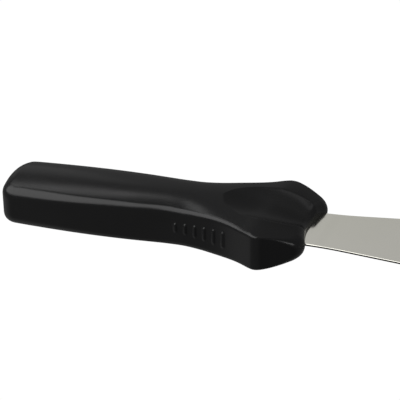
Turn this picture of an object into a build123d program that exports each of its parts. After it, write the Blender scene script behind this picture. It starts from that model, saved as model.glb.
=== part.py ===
"""Ink knife: a steel blade whose tang is moulded into a one-piece plastic handle.

Frame: +X runs along the knife to the blade's tip, +Y across it, +Z up with the knife lying flat.
The origin is under the middle of the knife's length, at the level of its lowest point.
All sizes are in millimetres. Setbacks run back from a line one handle_length ahead of the butt,
which the rounded corners of the nose almost reach.
"""

import os

from build123d import *

# Overall sizes
overall_length = 199.0
handle_length = 111.0
handle_thickness = 19.0

# Handle outline, seen from above
waist_half_width = 12.4
palm_half_width = 14.2
butt_half_width = 13.4
butt_bow = 1.0
butt_corner_radius = 6.0
shoulder_half_width = 24.2
shoulder_setback = 14.8
shoulder_radius = 4.6
nose_corner_lead = 1.25
nose_half_width = 17.1
nose_notch = 4.6
nose_corner_radius = 5.3
handle_edge_radius = 2.4

# Thumb recess, one in each broad face
recess_start_setback = 36.0
recess_axis_height = 42.0
recess_runout = 1.0
recess_rim_radius = 1.0

# Grip ribs, a row on each narrow side, shorter towards the butt
rib_count = 6
rib_pitch = 3.6
rib_front_setback = 27.9
rib_longest = 6.0
rib_shortening = 0.5
rib_radius = 0.75
rib_proud = 0.5

# Blade outside the handle
blade_thickness = 0.8
blade_root_width = 25.0
blade_flare_start = 12.0
blade_flare_width = 27.4
blade_tip_width = 50.8
tip_corner_radius = 0.8
blade_edge_break = 0.15
grind_start = 2.0
grind_ramp = 3.0
grind_depth = 0.05
tip_bevel_length = 9.0
tip_bevel_depth = 0.2

# Tang, the part of the blade inside the handle
tang_length = 92.0
tang_neck_setback = 9.0
blade_root_setback = 4.0
tang_front_width = 22.0
tang_rear_width = 13.0
tang_end_radius = 5.0
lock_hole_diameter = 5.0
lock_hole_setbacks = (28.0, 54.0, 78.0)

# Positions that follow from the sizes
butt_x = -overall_length / 2
front_x = butt_x + handle_length
tip_x = overall_length / 2
middle_z = handle_thickness / 2
recess_axis_z = middle_z + recess_axis_height


def behind_front(setback):
    """X of a point that lies a given distance behind the handle's front."""
    return front_x - setback


# One side of the handle from the shoulder to the butt: setback, half width
side_points = [
    (shoulder_setback, shoulder_half_width),
    (26.0, 17.6),
    (35.0, 14.4),
    (47.0, waist_half_width),
    (62.0, 13.2),
    (84.0, palm_half_width),
    (handle_length - butt_bow, butt_half_width),
]
side_start_slope = 0.56
side_end_slope = 0.06

# Crown of the broad faces: setback, half width of the section, height at its middle and at its
# edge. Heights are above the blade's middle plane, and each section is wider than the handle.
crown_sections = [
    (126.0, 17.0, 8.5, 3.0),
    (112.0, 17.0, 8.95, 3.55),
    (98.0, 17.0, 9.3, 4.2),
    (84.0, 17.0, 9.44, 4.6),
    (70.0, 17.0, handle_thickness / 2, 4.6),
    (56.0, 17.0, 9.38, 3.8),
    (42.0, 17.0, 8.85, 4.95),
    (28.0, 20.0, 8.4, 5.9),
    (16.0, 26.0, 7.85, 5.85),
    (7.0, 26.0, 5.9, 3.8),
    (0.0, 24.0, 4.25, 1.7),
    (-5.0, 22.0, 3.4, 1.2),
]

# Floor of a thumb recess along its middle: setback, height above the blade's middle plane
recess_floor_points = [
    (recess_start_setback, 9.35),
    (30.0, 7.85),
    (23.0, 6.25),
    (16.0, 5.2),
    (8.0, 3.7),
    (nose_notch - nose_corner_lead, 2.55),
    (-recess_runout, 1.4),
]


# Blade: the flared working part, the tang and the holes that lock it in the handle
with BuildPart() as blade:
    with BuildSketch(Plane.XY.offset(middle_z - blade_thickness / 2)):
        with BuildLine():
            tip_corner = (tip_x, blade_tip_width / 2)
            flare_start = (front_x + blade_flare_start, blade_flare_width / 2)
            root = (behind_front(blade_root_setback), blade_root_width / 2)
            neck = (behind_front(tang_neck_setback), tang_front_width / 2)
            tang_corner = (behind_front(tang_length), tang_rear_width / 2)
            flare = Vector(*flare_start) - Vector(*tip_corner)
            Line((tip_x, 0), tip_corner)
            Line(tip_corner, flare_start)
            Spline(flare_start, root, tangents=[flare, (-1, 0)])
            Polyline(root, neck, tang_corner, (behind_front(tang_length), 0))
            mirror(about=Plane.XZ)
        make_face()
    extrude(amount=blade_thickness)
    upright_corners = blade.edges().filter_by(Axis.Z).group_by(Axis.X)
    fillet(upright_corners[0], tang_end_radius)
    fillet(upright_corners[-1], tip_corner_radius)

    # The long edges of the working part are eased
    long_edges = blade.edges().filter_by(Plane.XY).filter_by_position(Axis.X, front_x, tip_x - 1)
    chamfer(long_edges, blade_edge_break)

    # Both faces of the working part are ground flat, then bevelled towards the tip
    for outward in (1, -1):
        face_z = middle_z + outward * blade_thickness / 2
        with BuildSketch(Plane.XZ):
            with BuildLine():
                Polyline(
                    (front_x + grind_start, face_z),
                    (front_x + grind_start + grind_ramp, face_z - outward * grind_depth),
                    (tip_x - tip_bevel_length, face_z - outward * grind_depth),
                    (tip_x, face_z - outward * tip_bevel_depth),
                    (tip_x + 1, face_z),
                    close=True,
                )
            make_face()
        extrude(amount=blade_tip_width, both=True, mode=Mode.SUBTRACT)

    # The handle's plastic runs through these holes
    with Locations(*[(behind_front(setback), 0, middle_z) for setback in lock_hole_setbacks]):
        Hole(radius=lock_hole_diameter / 2)
blade.part.label = "blade"


# A crowned bar that gives the handle its thickness
with BuildPart() as crowned_bar:
    for setback, half_width, middle_height, edge_height in crown_sections:
        with BuildSketch(Plane.YZ.offset(behind_front(setback))):
            with BuildLine():
                top_left = (-half_width, middle_z + edge_height)
                top_right = (half_width, middle_z + edge_height)
                bottom_left = (-half_width, middle_z - edge_height)
                bottom_right = (half_width, middle_z - edge_height)
                ThreePointArc(top_left, (0, middle_z + middle_height), top_right)
                Line(top_right, bottom_right)
                ThreePointArc(bottom_right, (0, middle_z - middle_height), bottom_left)
                Line(bottom_left, top_left)
            make_face()
    loft()


# The body that scoops out the upper thumb recess: a shallow arc in section, run out at the nose
with BuildPart() as recess_scoop:
    with BuildSketch(Plane.XZ):
        with BuildLine():
            floor = [(behind_front(s), middle_z + height) for s, height in recess_floor_points]
            Spline(*floor)
            Polyline(
                floor[-1],
                (floor[-1][0], recess_axis_z),
                (floor[0][0], recess_axis_z),
                floor[0],
            )
        make_face()
    revolve(axis=Axis((0, 0, recess_axis_z), (1, 0, 0)))


# Handle: moulded in one piece around the tang
with BuildPart() as handle:
    with BuildSketch(Plane.XY.offset(-1)):
        with BuildLine():
            side = [(behind_front(setback), half_width) for setback, half_width in side_points]
            nose_corner = (front_x + nose_corner_lead, nose_half_width)
            nose_middle = (nose_corner[0] - nose_notch, 0)
            butt_corner = side[-1]
            Line(nose_corner, side[0])
            Spline(*side, tangents=[(-1, -side_start_slope), (-1, -side_end_slope)])
            mirror(about=Plane.XZ)
            ThreePointArc(nose_corner, nose_middle, (nose_corner[0], -nose_half_width))
            ThreePointArc(butt_corner, (butt_x, 0), (butt_corner[0], -butt_half_width))
        make_face()
    extrude(amount=handle_thickness + 2)
    corner_pairs = handle.edges().filter_by(Axis.Z).group_by(Axis.X)
    fillet(corner_pairs[0], butt_corner_radius)
    fillet(corner_pairs[-2], shoulder_radius)
    fillet(corner_pairs[-1], nose_corner_radius)
    add(crowned_bar.part, mode=Mode.INTERSECT)
    faces_by_height = handle.faces().sort_by(Axis.Z)
    fillet(faces_by_height[0].edges() + faces_by_height[-1].edges(), handle_edge_radius)

    # A thumb recess in each broad face, with its rim rounded off
    add(recess_scoop.part, mode=Mode.SUBTRACT)
    add(recess_scoop.part.mirror(Plane.XY.offset(middle_z)), mode=Mode.SUBTRACT)
    for recess in handle.faces().filter_by(GeomType.REVOLUTION):
        fillet(recess.edges().sort_by(Axis.X)[:2], recess_rim_radius)

    # Grip ribs: upright bars with round ends, half sunk into the side walls
    for side_wall in handle.faces().filter_by(GeomType.EXTRUSION):
        outward = 1 if side_wall.center().Y > 0 else -1
        for index in range(rib_count):
            rib_x = behind_front(rib_front_setback + index * rib_pitch)
            across = Axis((rib_x, 0, middle_z), (0, outward, 0))
            wall_point, wall_normal = side_wall.find_intersection_points(across)[0]
            rib_center = wall_point - wall_normal * (rib_radius - rib_proud)
            rib_length = rib_longest - index * rib_shortening
            to_rib_end = Vector(0, 0, rib_length / 2 - rib_radius)
            with Locations(rib_center):
                Cylinder(rib_radius, 2 * to_rib_end.Z)
            with Locations(rib_center + to_rib_end, rib_center - to_rib_end):
                Sphere(rib_radius)

    # The tang's own shape is left inside
    add(blade.part, mode=Mode.SUBTRACT)
handle.part.label = "handle"


os.makedirs("parts", exist_ok=True)
export_step(blade.part, "parts/blade.step")
export_step(handle.part, "parts/handle.step")
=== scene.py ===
"""Ink knife: the looks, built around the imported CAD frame. Lengths are in metres."""

import math

import bmesh
import bpy
import numpy as np
from mathutils import Matrix, Vector


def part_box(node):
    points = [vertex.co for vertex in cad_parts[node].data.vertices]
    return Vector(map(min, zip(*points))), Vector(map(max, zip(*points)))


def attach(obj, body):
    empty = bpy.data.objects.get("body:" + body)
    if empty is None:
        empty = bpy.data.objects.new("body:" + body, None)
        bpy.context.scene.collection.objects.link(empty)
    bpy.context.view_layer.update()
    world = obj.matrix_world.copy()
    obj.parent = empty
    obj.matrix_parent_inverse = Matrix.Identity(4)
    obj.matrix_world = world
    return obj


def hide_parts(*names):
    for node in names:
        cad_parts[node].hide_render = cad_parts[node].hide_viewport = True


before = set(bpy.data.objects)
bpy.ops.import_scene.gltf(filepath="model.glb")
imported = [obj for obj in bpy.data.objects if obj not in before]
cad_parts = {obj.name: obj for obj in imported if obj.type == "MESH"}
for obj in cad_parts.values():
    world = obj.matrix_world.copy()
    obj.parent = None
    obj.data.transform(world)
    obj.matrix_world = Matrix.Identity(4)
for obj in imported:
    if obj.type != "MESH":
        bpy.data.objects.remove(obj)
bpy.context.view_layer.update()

MM = 0.001

# ---------------------------------------------------------------- places that follow from the frame
handle_low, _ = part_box("handle")
blade_low, blade_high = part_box("blade")
butt_x = handle_low.x
middle_z = (blade_low.z + blade_high.z) / 2
HANDLE_LENGTH = 111.0
front_x = butt_x + HANDLE_LENGTH * MM

# ---------------------------------------------------------------- handle sizes, in millimetres
# Setbacks run back from front_x, a line one HANDLE_LENGTH ahead of the butt. The rounded corners of
# the nose almost reach it.
NOSE_CORNER_SETBACK = -1.25
NOSE_HALF_WIDTH = 17.1
NOSE_NOTCH = 4.6
NOSE_CORNER_RADIUS = 5.3
SHOULDER_SETBACK = 14.8
SHOULDER_HALF_WIDTH = 24.2
SHOULDER_RADIUS = 4.6
BUTT_HALF_WIDTH = 13.4
BUTT_BOW = 1.0
BUTT_CORNER_RADIUS = 6.0
# One side from the shoulder to the butt: setback, half width
SIDE_POINTS = [
    (SHOULDER_SETBACK, SHOULDER_HALF_WIDTH),
    (26.0, 17.6),
    (35.0, 14.4),
    (47.0, 12.4),
    (62.0, 13.2),
    (84.0, 14.2),
    (HANDLE_LENGTH - BUTT_BOW, BUTT_HALF_WIDTH),
]
SIDE_START_SLOPE = -0.56
SIDE_END_SLOPE = -0.06
# Crown of the broad faces: setback, height at the middle above the blade's plane, radius across
CROWN = [
    (-5.0, 3.6, 110.0),
    (0.0, 4.25, 115.0),
    (3.5, 5.0, 130.0),
    (7.0, 5.9, 160.0),
    (12.0, 7.15, 180.0),
    (16.0, 7.85, 170.0),
    (21.0, 8.1, 120.0),
    (28.0, 8.4, 82.0),
    (35.0, 8.82, 47.0),
    (42.0, 9.15, 30.8),
    (49.0, 9.38, 27.2),
    (56.0, 9.45, 28.5),
    (63.0, 9.49, 30.5),
    (70.0, 9.49, 32.0),
    (84.0, 9.48, 32.0),
    (98.0, 9.3, 31.0),
    (112.0, 8.95, 29.5),
]
# Radius of the long edges: setback, radius
EDGE_RADIUS = [
    (-2.0, 4.7),
    (1.0, 4.6),
    (3.5, 3.1),
    (7.0, 1.5),
    (20.0, 1.5),
    (35.0, 2.1),
    (49.0, 2.8),
    (63.0, 3.0),
    (77.0, 3.5),
    (95.0, 4.35),
    (111.0, 4.4),
]
# How much further the rounding reaches inwards than up: setback, ratio
EDGE_STRETCH = [(-2.0, 1.08), (1.5, 1.08), (7.0, 1.0), (111.0, 1.0)]
# Thumb recess, half width of its rim: setback, half width
RECESS_HALF_WIDTH = [
    (1.0, 5.0),
    (3.0, 7.8),
    (5.0, 9.4),
    (8.0, 11.0),
    (12.0, 12.2),
    (16.5, 12.7),
    (20.0, 12.3),
    (24.5, 11.0),
    (28.0, 8.6),
    (31.0, 5.2),
    (33.0, 0.5),
]
# Thumb recess, depth along its middle: setback, depth
RECESS_DEPTH = [
    (0.5, 1.9),
    (3.0, 2.4),
    (5.5, 2.55),
    (9.0, 2.6),
    (16.0, 2.6),
    (22.0, 2.15),
    (28.0, 1.1),
    (31.5, 0.3),
    (33.0, 0.0),
]
# Power of the recess's bowl: 1 is a parabola across, and less has steeper walls
RECESS_WALL = 0.9
# Grip ribs, a row on each narrow side, shorter towards the butt
RIB_COUNT = 6
RIB_PITCH = 3.6
RIB_FRONT_SETBACK = 27.9
RIB_LONGEST = 6.0
RIB_SHORTENING = 0.5
RIB_HALF_WIDTH = 0.75
RIB_PROUD = 0.5

# Distance between points along the skin's outline: usual, at the nose, at the ribs, at the butt
USUAL_SPACING = 0.75
NOSE_SPACING = 0.38
RIB_SPACING = 0.2
BUTT_SPACING = 0.45
NOSE_REGION_END = 24
BUTT_REGION_START = 98
# Rings of points up the wall, round the edge, and in from the edge to the spine
WALL_RINGS = 15
ROUNDING_RINGS = 13
CROWN_RINGS = 41
# Distance of the spine's two ends from the front and from the butt
SPINE_FRONT_GAP = 12.0
SPINE_BUTT_GAP = 11.0


# ---------------------------------------------------------------- curves
def smooth(points, x, start_slope=None, end_slope=None):
    """Value at x of a smooth curve through (place, value) points: a cubic between each two."""
    places, values = np.array(points, float).T
    slopes = np.gradient(values, places)
    if start_slope is not None:
        slopes[0] = start_slope
    if end_slope is not None:
        slopes[-1] = end_slope
    x = np.clip(x, places[0], places[-1])
    before = np.clip(np.searchsorted(places, x) - 1, 0, len(places) - 2)
    after = before + 1
    width = places[after] - places[before]
    t = (x - places[before]) / width
    return (
        values[before] * (1 + 2 * t) * (1 - t) ** 2
        + slopes[before] * width * t * (1 - t) ** 2
        + values[after] * t * t * (3 - 2 * t)
        + slopes[after] * width * t * t * (t - 1)
    )


def lengths_along(path):
    """Distance of each point of a path from its start."""
    return np.r_[0, np.cumsum(np.hypot(*np.diff(path, axis=0).T))]


def at_distance(path, distance):
    """Point and direction of a path at a distance from its start."""
    lengths = lengths_along(path)
    step = 0.05
    wanted = [distance - step, distance, distance + step]
    behind, point, ahead = np.c_[
        np.interp(wanted, lengths, path[:, 0]),
        np.interp(wanted, lengths, path[:, 1]),
    ]
    along = ahead - behind
    return point, along / np.hypot(*along)


def join_rounded(before, after, radius):
    """Two paths that meet at a corner, joined with that corner rounded to a radius."""
    total = lengths_along(before)[-1]
    _, direction_in = at_distance(before, total - radius / 4)
    _, direction_out = at_distance(after, radius / 4)
    turn = math.acos(float(np.clip(direction_in @ direction_out, -1, 1)))
    reach = radius * math.tan(turn / 2)
    start, direction_in = at_distance(before, total - reach)
    end, direction_out = at_distance(after, reach)
    arm = radius * math.tan(turn / 4) * 4 / 3
    t = np.linspace(0, 1, 40)[:, None]
    corner = (
        start * (1 - t) ** 3
        + (start + direction_in * arm) * 3 * t * (1 - t) ** 2
        + (end - direction_out * arm) * 3 * t * t * (1 - t)
        + end * t ** 3
    )
    least_gap = 0.01
    keep_before = before[lengths_along(before) < total - reach - least_gap]
    keep_after = after[lengths_along(after) > reach + least_gap]
    return np.vstack([keep_before, corner, keep_after])


# ---------------------------------------------------------------- handle outline and heights
# Inside these functions x is the setback, y the distance from the middle line and z the height
# above the blade's middle plane, all in millimetres.
def half_outline():
    """The outline of one half, from the middle of the nose to the middle of the butt."""
    nose_radius = (NOSE_HALF_WIDTH ** 2 + NOSE_NOTCH ** 2) / (2 * NOSE_NOTCH)
    y = np.linspace(0, NOSE_HALF_WIDTH, 60)
    nose_center = NOSE_CORNER_SETBACK + NOSE_NOTCH - nose_radius
    nose = np.c_[nose_center + np.sqrt(nose_radius ** 2 - y * y), y]
    t = np.linspace(0, 1, 60)[:, None]
    cheek = nose[-1] * (1 - t) + np.array([[SHOULDER_SETBACK, SHOULDER_HALF_WIDTH]]) * t
    x = np.linspace(SIDE_POINTS[0][0], SIDE_POINTS[-1][0], 400)
    side = np.c_[x, smooth(SIDE_POINTS, x, SIDE_START_SLOPE, SIDE_END_SLOPE)]
    butt_radius = (BUTT_HALF_WIDTH ** 2 + BUTT_BOW ** 2) / (2 * BUTT_BOW)
    y = np.linspace(BUTT_HALF_WIDTH, 0, 60)
    butt = np.c_[HANDLE_LENGTH - butt_radius + np.sqrt(butt_radius ** 2 - y * y), y]
    path = join_rounded(nose, cheek, NOSE_CORNER_RADIUS)
    path = join_rounded(path, side, SHOULDER_RADIUS)
    return join_rounded(path, butt, BUTT_CORNER_RADIUS)


def spaced(path):
    """The path with its points spaced closely where the detail is and wider elsewhere."""
    lengths = lengths_along(path)
    fine = np.linspace(0, lengths[-1], 6000)
    x = np.interp(fine, lengths, path[:, 0])
    ribs_end = RIB_FRONT_SETBACK + (RIB_COUNT - 1) * RIB_PITCH
    spacing = np.full_like(fine, USUAL_SPACING)
    spacing[x < NOSE_REGION_END] = NOSE_SPACING
    margin = 2 * RIB_HALF_WIDTH
    spacing[(x > RIB_FRONT_SETBACK - margin) & (x < ribs_end + margin)] = RIB_SPACING
    spacing[x > BUTT_REGION_START] = BUTT_SPACING
    # The spacing changes gradually from one stretch to the next
    reach = 60
    window = np.ones(2 * reach + 1) / (2 * reach + 1)
    spacing = np.convolve(np.pad(spacing, reach, mode="edge"), window, mode="valid")
    count = np.r_[0, np.cumsum(np.diff(fine) / spacing[1:])]
    wanted = np.interp(np.linspace(0, count[-1], int(count[-1]) + 1), count, fine)
    return np.c_[np.interp(wanted, lengths, path[:, 0]), np.interp(wanted, lengths, path[:, 1])]


def crown_height(x, y):
    """Height of the crowned broad face above the blade's plane, before its edges are rounded."""
    middle = smooth([(setback, height) for setback, height, _ in CROWN], x)
    radius = smooth([(setback, radius) for setback, _, radius in CROWN], x)
    return middle - (radius - np.sqrt(radius ** 2 - y * y))


def recess_depth(x, y):
    """Depth of the thumb recess below the crowned face: a bowl inside a leaf-shaped rim."""
    half_width = smooth(RECESS_HALF_WIDTH, x)
    across = np.clip(1 - (y / np.maximum(half_width, 0.01)) ** 2, 0, None)
    return smooth(RECESS_DEPTH, x) * across ** RECESS_WALL


def with_recess(x, y, z):
    """Height z with the thumb recess taken out, in the same proportion at every level."""
    return z * (1 - recess_depth(x, y) / crown_height(x, y))


def rib_relief(x, z):
    """How far the grip ribs stand out of a side wall at setback x and height z."""
    relief = np.zeros(np.broadcast(x, z).shape)
    for index in range(RIB_COUNT):
        rib_x = RIB_FRONT_SETBACK + index * RIB_PITCH
        half_straight = (RIB_LONGEST - index * RIB_SHORTENING) / 2 - RIB_HALF_WIDTH
        past_end = np.clip(np.abs(z) - half_straight, 0, None)
        reach = np.hypot(x - rib_x, past_end) / RIB_HALF_WIDTH
        relief = np.maximum(relief, RIB_PROUD * np.clip(1 - reach ** 2, 0, None))
    return relief


# ---------------------------------------------------------------- mesh making
def mesh_object(name, vertices, faces):
    """A smooth-shaded mesh object with doubled points joined."""
    mesh = bpy.data.meshes.new(name)
    mesh.from_pydata([tuple(v) for v in vertices], [], faces)
    piece = bpy.data.objects.new(name, mesh)
    bpy.context.scene.collection.objects.link(piece)
    bm = bmesh.new()
    bm.from_mesh(mesh)
    bmesh.ops.remove_doubles(bm, verts=bm.verts, dist=1e-7)
    bmesh.ops.recalc_face_normals(bm, faces=bm.faces)
    bm.to_mesh(mesh)
    bm.free()
    mesh.polygons.foreach_set("use_smooth", [True] * len(mesh.polygons))
    mesh.update()
    return piece


def handle_rings():
    """The handle's skin as rings of points, from the wall's middle up to the spine line."""
    half = spaced(half_outline())
    mirrored = half[-2:0:-1] * [1, -1]
    outline = np.vstack([half, mirrored])
    ahead = np.roll(outline, -1, axis=0) - np.roll(outline, 1, axis=0)
    inward = np.c_[-ahead[:, 1], ahead[:, 0]] / np.hypot(ahead[:, 0], ahead[:, 1])[:, None]
    middle_side = np.argmax(outline[:, 1])
    if inward[middle_side, 1] > 0:
        inward = -inward
    radius = smooth(EDGE_RADIUS, outline[:, 0])
    reach = radius * smooth(EDGE_STRETCH, outline[:, 0])

    def height_in(distance):
        """Crown height at a distance inside the outline."""
        at = outline + inward * distance[:, None]
        return crown_height(at[:, 0], at[:, 1])

    # The rounding ends where it is as steep as the crown, found by a few repeated steps
    step = 0.05
    tilt = np.zeros(len(outline))
    for _ in range(4):
        touch = reach * (1 - np.sin(tilt))
        slope = (height_in(touch + step) - height_in(touch - step)) / (2 * step)
        tilt = np.arctan(slope * reach / radius)
    touch = reach * (1 - np.sin(tilt))
    wall_top = height_in(touch) - radius * np.cos(tilt)

    rings = []
    for level in np.linspace(0, 1, WALL_RINGS):
        z = wall_top * level
        x, y = outline.T
        relief = rib_relief(x, z)
        rings.append(np.c_[outline - inward * relief[:, None], with_recess(x, y, z)])
    for share in np.linspace(0, 1, ROUNDING_RINGS)[1:]:
        angle = np.pi / 2 + (tilt - np.pi / 2) * share
        at = outline + inward * (reach * (1 - np.sin(angle)))[:, None]
        z = wall_top + radius * np.cos(angle)
        rings.append(np.c_[at, with_recess(at[:, 0], at[:, 1], z)])
    inner = rings[-1][:, :2]

    # Each point's line inwards ends on the spine, in the order of the points along the outline.
    # The small share of the length keeps points apart where the outline runs across the handle.
    across_share = 0.02
    along = np.maximum.accumulate(half[:, 0]) + lengths_along(half) * across_share
    along = (along - along[0]) / (along[-1] - along[0])
    along = np.r_[along, along[-2:0:-1]]
    spine_length = HANDLE_LENGTH - SPINE_BUTT_GAP - SPINE_FRONT_GAP
    spine = np.c_[SPINE_FRONT_GAP + spine_length * along, np.zeros(len(outline))]
    for share in np.linspace(0, 1, CROWN_RINGS)[1:] ** 0.9:
        at = inner * (1 - share) + spine * share
        z = with_recess(at[:, 0], at[:, 1], crown_height(at[:, 0], at[:, 1]))
        rings.append(np.c_[at, z])
    return rings


def make_handle():
    """The handle's whole skin: the upper rings, and their mirror images below the blade's plane."""
    upper = handle_rings()
    lower = [ring * [1, 1, -1] for ring in upper[:0:-1]]
    rings = lower + upper
    count = len(rings[0])
    points = np.vstack(rings)
    vertices = np.c_[front_x - points[:, 0] * MM, points[:, 1] * MM, middle_z + points[:, 2] * MM]
    faces = []
    for row in range(len(rings) - 1):
        for i in range(count):
            j = (i + 1) % count
            a, b = row * count, (row + 1) * count
            faces.append((a + i, a + j, b + j, b + i))
    return mesh_object("moulded_handle", vertices, faces)


# ---------------------------------------------------------------- materials
def new_material(name):
    """A node material, with its nodes, links and shader."""
    material = bpy.data.materials.new(name)
    material.use_nodes = True
    nodes = material.node_tree.nodes
    shader = nodes["Principled BSDF"]
    return material, nodes, material.node_tree.links, shader


def noise(nodes, links, coords, scale, detail, roughness=0.5):
    """Soft noise from 0 to 1 with so many waves a metre."""
    node = nodes.new("ShaderNodeTexNoise")
    node.inputs["Scale"].default_value = scale
    node.inputs["Detail"].default_value = detail
    node.inputs["Roughness"].default_value = roughness
    links.new(coords, node.inputs["Vector"])
    return node.outputs["Fac"]


def remap(nodes, links, value, low, high):
    """The 0..1 value moved to low..high."""
    node = nodes.new("ShaderNodeMapRange")
    node.inputs["To Min"].default_value = low
    node.inputs["To Max"].default_value = high
    links.new(value, node.inputs["Value"])
    return node.outputs["Result"]


def ramp(nodes, links, value, stops):
    """A colour for each value, blended between (value, colour) stops."""
    node = nodes.new("ShaderNodeValToRGB")
    elements = node.color_ramp.elements
    while len(elements) < len(stops):
        elements.new(0.5)
    for element, (place, colour) in zip(elements, stops):
        element.position = place
        element.color = (*colour, 1)
    links.new(value, node.inputs["Fac"])
    return node.outputs["Color"]


def bump(nodes, links, height, distance):
    """A surface normal for relief of that height, in metres."""
    node = nodes.new("ShaderNodeBump")
    node.inputs["Distance"].default_value = distance
    node.inputs["Strength"].default_value = 1.0
    links.new(height, node.inputs["Height"])
    return node.outputs["Normal"]


def plastic_material():
    """Black moulded plastic with a satin skin and a very fine grain."""
    material, nodes, links, shader = new_material("moulded_plastic")
    coords = nodes.new("ShaderNodeTexCoord").outputs["Object"]
    flow = noise(nodes, links, coords, 55, 3)
    darker, lighter = (0.0065, 0.0065, 0.0068), (0.009, 0.009, 0.0093)
    colour = ramp(nodes, links, flow, [(0.3, darker), (0.7, lighter)])
    links.new(colour, shader.inputs["Base Color"])
    grain = noise(nodes, links, coords, 2600, 2)
    polish = noise(nodes, links, coords, 120, 4)
    links.new(remap(nodes, links, polish, 0.2, 0.26), shader.inputs["Roughness"])
    shader.inputs["IOR"].default_value = 1.46
    links.new(bump(nodes, links, grain, 0.004 * MM), shader.inputs["Normal"])
    return material


def steel_material():
    """Stainless steel, finely ground along the blade, with painted shade on its side faces: darker
    wherever the surface faces sideways.
    """
    material, nodes, links, shader = new_material("ground_steel")
    coords = nodes.new("ShaderNodeTexCoord").outputs["Object"]
    stretch = nodes.new("ShaderNodeMapping")
    stretch.inputs["Scale"].default_value = (0.02, 1.0, 1.0)
    links.new(coords, stretch.inputs["Vector"])
    scratches = noise(nodes, links, stretch.outputs["Vector"], 5000, 3, 0.6)
    tint = noise(nodes, links, coords, 22, 2)
    warmer, paler = (0.69, 0.68, 0.60), (0.73, 0.715, 0.655)
    colour = ramp(nodes, links, tint, [(0.25, warmer), (0.75, paler)])
    # Painted shade: the base colour turns near black (0.06) where the normal faces sideways, so the
    # blade's side faces look shaded under any light
    facing = nodes.new("ShaderNodeSeparateXYZ")
    links.new(nodes.new("ShaderNodeNewGeometry").outputs["Normal"], facing.inputs["Vector"])
    flatness = nodes.new("ShaderNodeMath")
    flatness.operation = "ABSOLUTE"
    links.new(facing.outputs["Z"], flatness.inputs[0])
    edge = nodes.new("ShaderNodeMapRange")
    edge.inputs["From Min"].default_value = 0.3
    edge.inputs["From Max"].default_value = 0.6
    links.new(flatness.outputs["Value"], edge.inputs["Value"])
    mix = nodes.new("ShaderNodeMix")
    mix.data_type = "RGBA"
    links.new(edge.outputs["Result"], mix.inputs["Factor"])
    mix.inputs["A"].default_value = (0.06, 0.06, 0.055, 1)
    links.new(colour, mix.inputs["B"])
    links.new(mix.outputs["Result"], shader.inputs["Base Color"])
    shader.inputs["Metallic"].default_value = 1.0
    links.new(remap(nodes, links, scratches, 0.1, 0.16), shader.inputs["Roughness"])
    links.new(bump(nodes, links, scratches, 0.0004 * MM), shader.inputs["Normal"])
    return material


# ---------------------------------------------------------------- the object
handle = make_handle()
handle.data.materials.append(plastic_material())
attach(handle, "root")
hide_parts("handle")

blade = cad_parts["blade"]
steel = steel_material()
for material_slot in blade.material_slots:
    material_slot.material = steel


# ---------------------------------------------------------------- floor, light and camera
LIGHT_DISTANCE = 1.0
FLOOR_HALF_SIZE = 3.0
CAMERA_AZIMUTH = 19.46
CAMERA_ELEVATION = 24.27
CAMERA_ROLL = -1.03
CAMERA_DISTANCE = 0.55
CAMERA_LENS = 146.5
# The camera and the lights point here, in the forward half of the handle
target = Vector((front_x - 41.38 * MM, 0, middle_z + 5.3 * MM))
ROOM_GREY = (0.17, 0.17, 0.17, 1)
# Darker places in the room: direction from the knife, closeness where the dimming starts and where
# it is full, least factor
ROOM_DARK_PLACES = [
    ((0.31, 0.95, 0.1), 0.77, 0.93, 0.8),
    ((-0.03, 0.89, 0.454), 0.963, 0.992, 0.6),
    ((-0.33, 0.93, -0.17), 0.82, 1.0, 0.6),
    ((0.65, -0.65, -0.4), 0.75, 1.0, 0.62),
]
# Soft lights: name, azimuth, elevation, width, height, radiance
SOFTBOXES = [
    ("key_light", 130, 42, 1.3, 0.98, 1.9),
    ("back_light", 53, 54, 0.46, 0.12, 1.6),
    ("back_fill", 37, 22, 0.4, 0.42, 0.12),
    ("bounce_card", 96, -45, 0.77, 0.93, 0.09),
    ("front_light", 250, 27, 0.3, 0.22, 2.6),
    ("top_light", -6, 74, 0.42, 0.42, 0.4),
]
# White cards that light only the steel, all round it but for one side
BLADE_CARD_AZIMUTHS = (23, 105, 165, 225, 265)
BLADE_CARD_ELEVATION = 34
BLADE_CARD_SIZE = 1.0
BLADE_CARD_RADIANCE = 0.44


def floor_material():
    """Grey to the light, and white to the camera."""
    material, nodes, links, shader = new_material("pale_floor")
    shader.inputs["Base Color"].default_value = (0.2, 0.2, 0.2, 1)
    shader.inputs["Roughness"].default_value = 0.9
    glow = nodes.new("ShaderNodeEmission")
    glow.inputs["Color"].default_value = (1, 1, 1, 1)
    glow.inputs["Strength"].default_value = 1.02
    mix = nodes.new("ShaderNodeMixShader")
    path = nodes.new("ShaderNodeLightPath")
    links.new(path.outputs["Is Camera Ray"], mix.inputs["Fac"])
    links.new(shader.outputs["BSDF"], mix.inputs[1])
    links.new(glow.outputs["Emission"], mix.inputs[2])
    links.new(mix.outputs["Shader"], nodes["Material Output"].inputs["Surface"])
    return material


def make_floor():
    """A plain floor that neither shades the knife nor shows in it."""
    half = FLOOR_HALF_SIZE
    corners = [(-half, -half, 0), (half, -half, 0), (half, half, 0), (-half, half, 0)]
    mesh = bpy.data.meshes.new("floor")
    mesh.from_pydata(corners, [], [(0, 1, 2, 3)])
    floor = bpy.data.objects.new("floor", mesh)
    bpy.context.scene.collection.objects.link(floor)
    floor.data.materials.append(floor_material())
    floor.visible_glossy = False
    floor.visible_diffuse = False
    floor.visible_shadow = False


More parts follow.
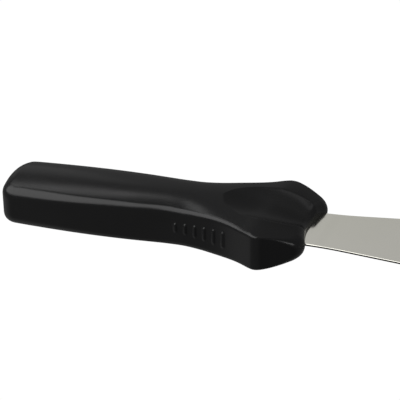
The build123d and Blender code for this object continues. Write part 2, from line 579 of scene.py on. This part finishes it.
def softbox(name, azimuth, elevation, width, height, radiance):
    """A soft light in that direction from the target. Azimuth 0 is +Y, and 90 is at the butt."""
    light = bpy.data.lights.new(name, "AREA")
    light.shape = "RECTANGLE"
    light.size = width
    light.size_y = height
    light.energy = radiance * math.pi * width * height
    lamp = bpy.data.objects.new(name, light)
    azimuth, elevation = math.radians(azimuth), math.radians(elevation)
    away = Vector((
        -math.sin(azimuth) * math.cos(elevation),
        math.cos(azimuth) * math.cos(elevation),
        math.sin(elevation),
    ))
    lamp.location = target + away * LIGHT_DISTANCE
    lamp.rotation_euler = away.to_track_quat("Z", "Y").to_euler()
    bpy.context.scene.collection.objects.link(lamp)
    return lamp


def dimmed_towards(nodes, links, direction, place, start, end, least):
    """A factor that falls from 1 to its least value as the direction nears a place in the room."""
    closeness = nodes.new("ShaderNodeVectorMath")
    closeness.operation = "DOT_PRODUCT"
    closeness.inputs[1].default_value = place
    links.new(direction, closeness.inputs[0])
    node = nodes.new("ShaderNodeMapRange")
    node.interpolation_type = "SMOOTHSTEP"
    node.inputs["From Min"].default_value = start
    node.inputs["From Max"].default_value = end
    node.inputs["To Min"].default_value = 1.0
    node.inputs["To Max"].default_value = least
    links.new(closeness.outputs["Value"], node.inputs["Value"])
    return node.outputs["Result"]


def set_world():
    """A grey room with a few darker places lights the knife, and the camera sees plain white."""
    world = bpy.data.worlds.new("studio")
    bpy.context.scene.world = world
    world.use_nodes = True
    nodes, links = world.node_tree.nodes, world.node_tree.links
    room = nodes["Background"]
    room.inputs["Color"].default_value = ROOM_GREY
    direction = nodes.new("ShaderNodeTexCoord").outputs["Generated"]
    strength, *others = [
        dimmed_towards(nodes, links, direction, place, start, end, least)
        for place, start, end, least in ROOM_DARK_PLACES
    ]
    for factor in others:
        product = nodes.new("ShaderNodeMath")
        product.operation = "MULTIPLY"
        links.new(strength, product.inputs[0])
        links.new(factor, product.inputs[1])
        strength = product.outputs["Value"]
    links.new(strength, room.inputs["Strength"])
    backdrop = nodes.new("ShaderNodeBackground")
    backdrop.inputs["Color"].default_value = (1, 1, 1, 1)
    mix = nodes.new("ShaderNodeMixShader")
    path = nodes.new("ShaderNodeLightPath")
    links.new(path.outputs["Is Camera Ray"], mix.inputs["Fac"])
    links.new(room.outputs["Background"], mix.inputs[1])
    links.new(backdrop.outputs["Background"], mix.inputs[2])
    links.new(mix.outputs["Shader"], nodes["World Output"].inputs["Surface"])


def make_camera():
    """The camera, by its azimuth from -Y towards +X, its elevation and its roll."""
    angles = (CAMERA_AZIMUTH, CAMERA_ELEVATION, CAMERA_ROLL)
    azimuth, elevation, roll = (math.radians(angle) for angle in angles)
    back = Vector((
        math.sin(azimuth) * math.cos(elevation),
        -math.cos(azimuth) * math.cos(elevation),
        math.sin(elevation),
    ))
    level = Vector((math.cos(azimuth), math.sin(azimuth), 0))
    upright = back.cross(level)
    right = level * math.cos(roll) + upright * math.sin(roll)
    up = upright * math.cos(roll) - level * math.sin(roll)
    camera_data = bpy.data.cameras.new("camera")
    camera = bpy.data.objects.new("camera", camera_data)
    camera_data.sensor_width = 36
    camera_data.lens = CAMERA_LENS
    camera_data.clip_start = 0.01
    place = target + back * CAMERA_DISTANCE
    camera.matrix_world = Matrix((
        (right.x, up.x, back.x, place.x),
        (right.y, up.y, back.y, place.y),
        (right.z, up.z, back.z, place.z),
        (0, 0, 0, 1),
    ))
    bpy.context.scene.collection.objects.link(camera)
    bpy.context.scene.camera = camera


make_floor()
set_world()
for light in SOFTBOXES:
    softbox(*light)
lit_by_cards = bpy.data.collections.new("lit_by_cards")
lit_by_cards.objects.link(blade)
for azimuth in BLADE_CARD_AZIMUTHS:
    card = softbox(
        f"blade_card_{azimuth}",
        azimuth,
        BLADE_CARD_ELEVATION,
        BLADE_CARD_SIZE,
        BLADE_CARD_SIZE,
        BLADE_CARD_RADIANCE,
    )
    card.light_linking.receiver_collection = lit_by_cards
make_camera()
bpy.context.scene.view_settings.view_transform = "Standard"
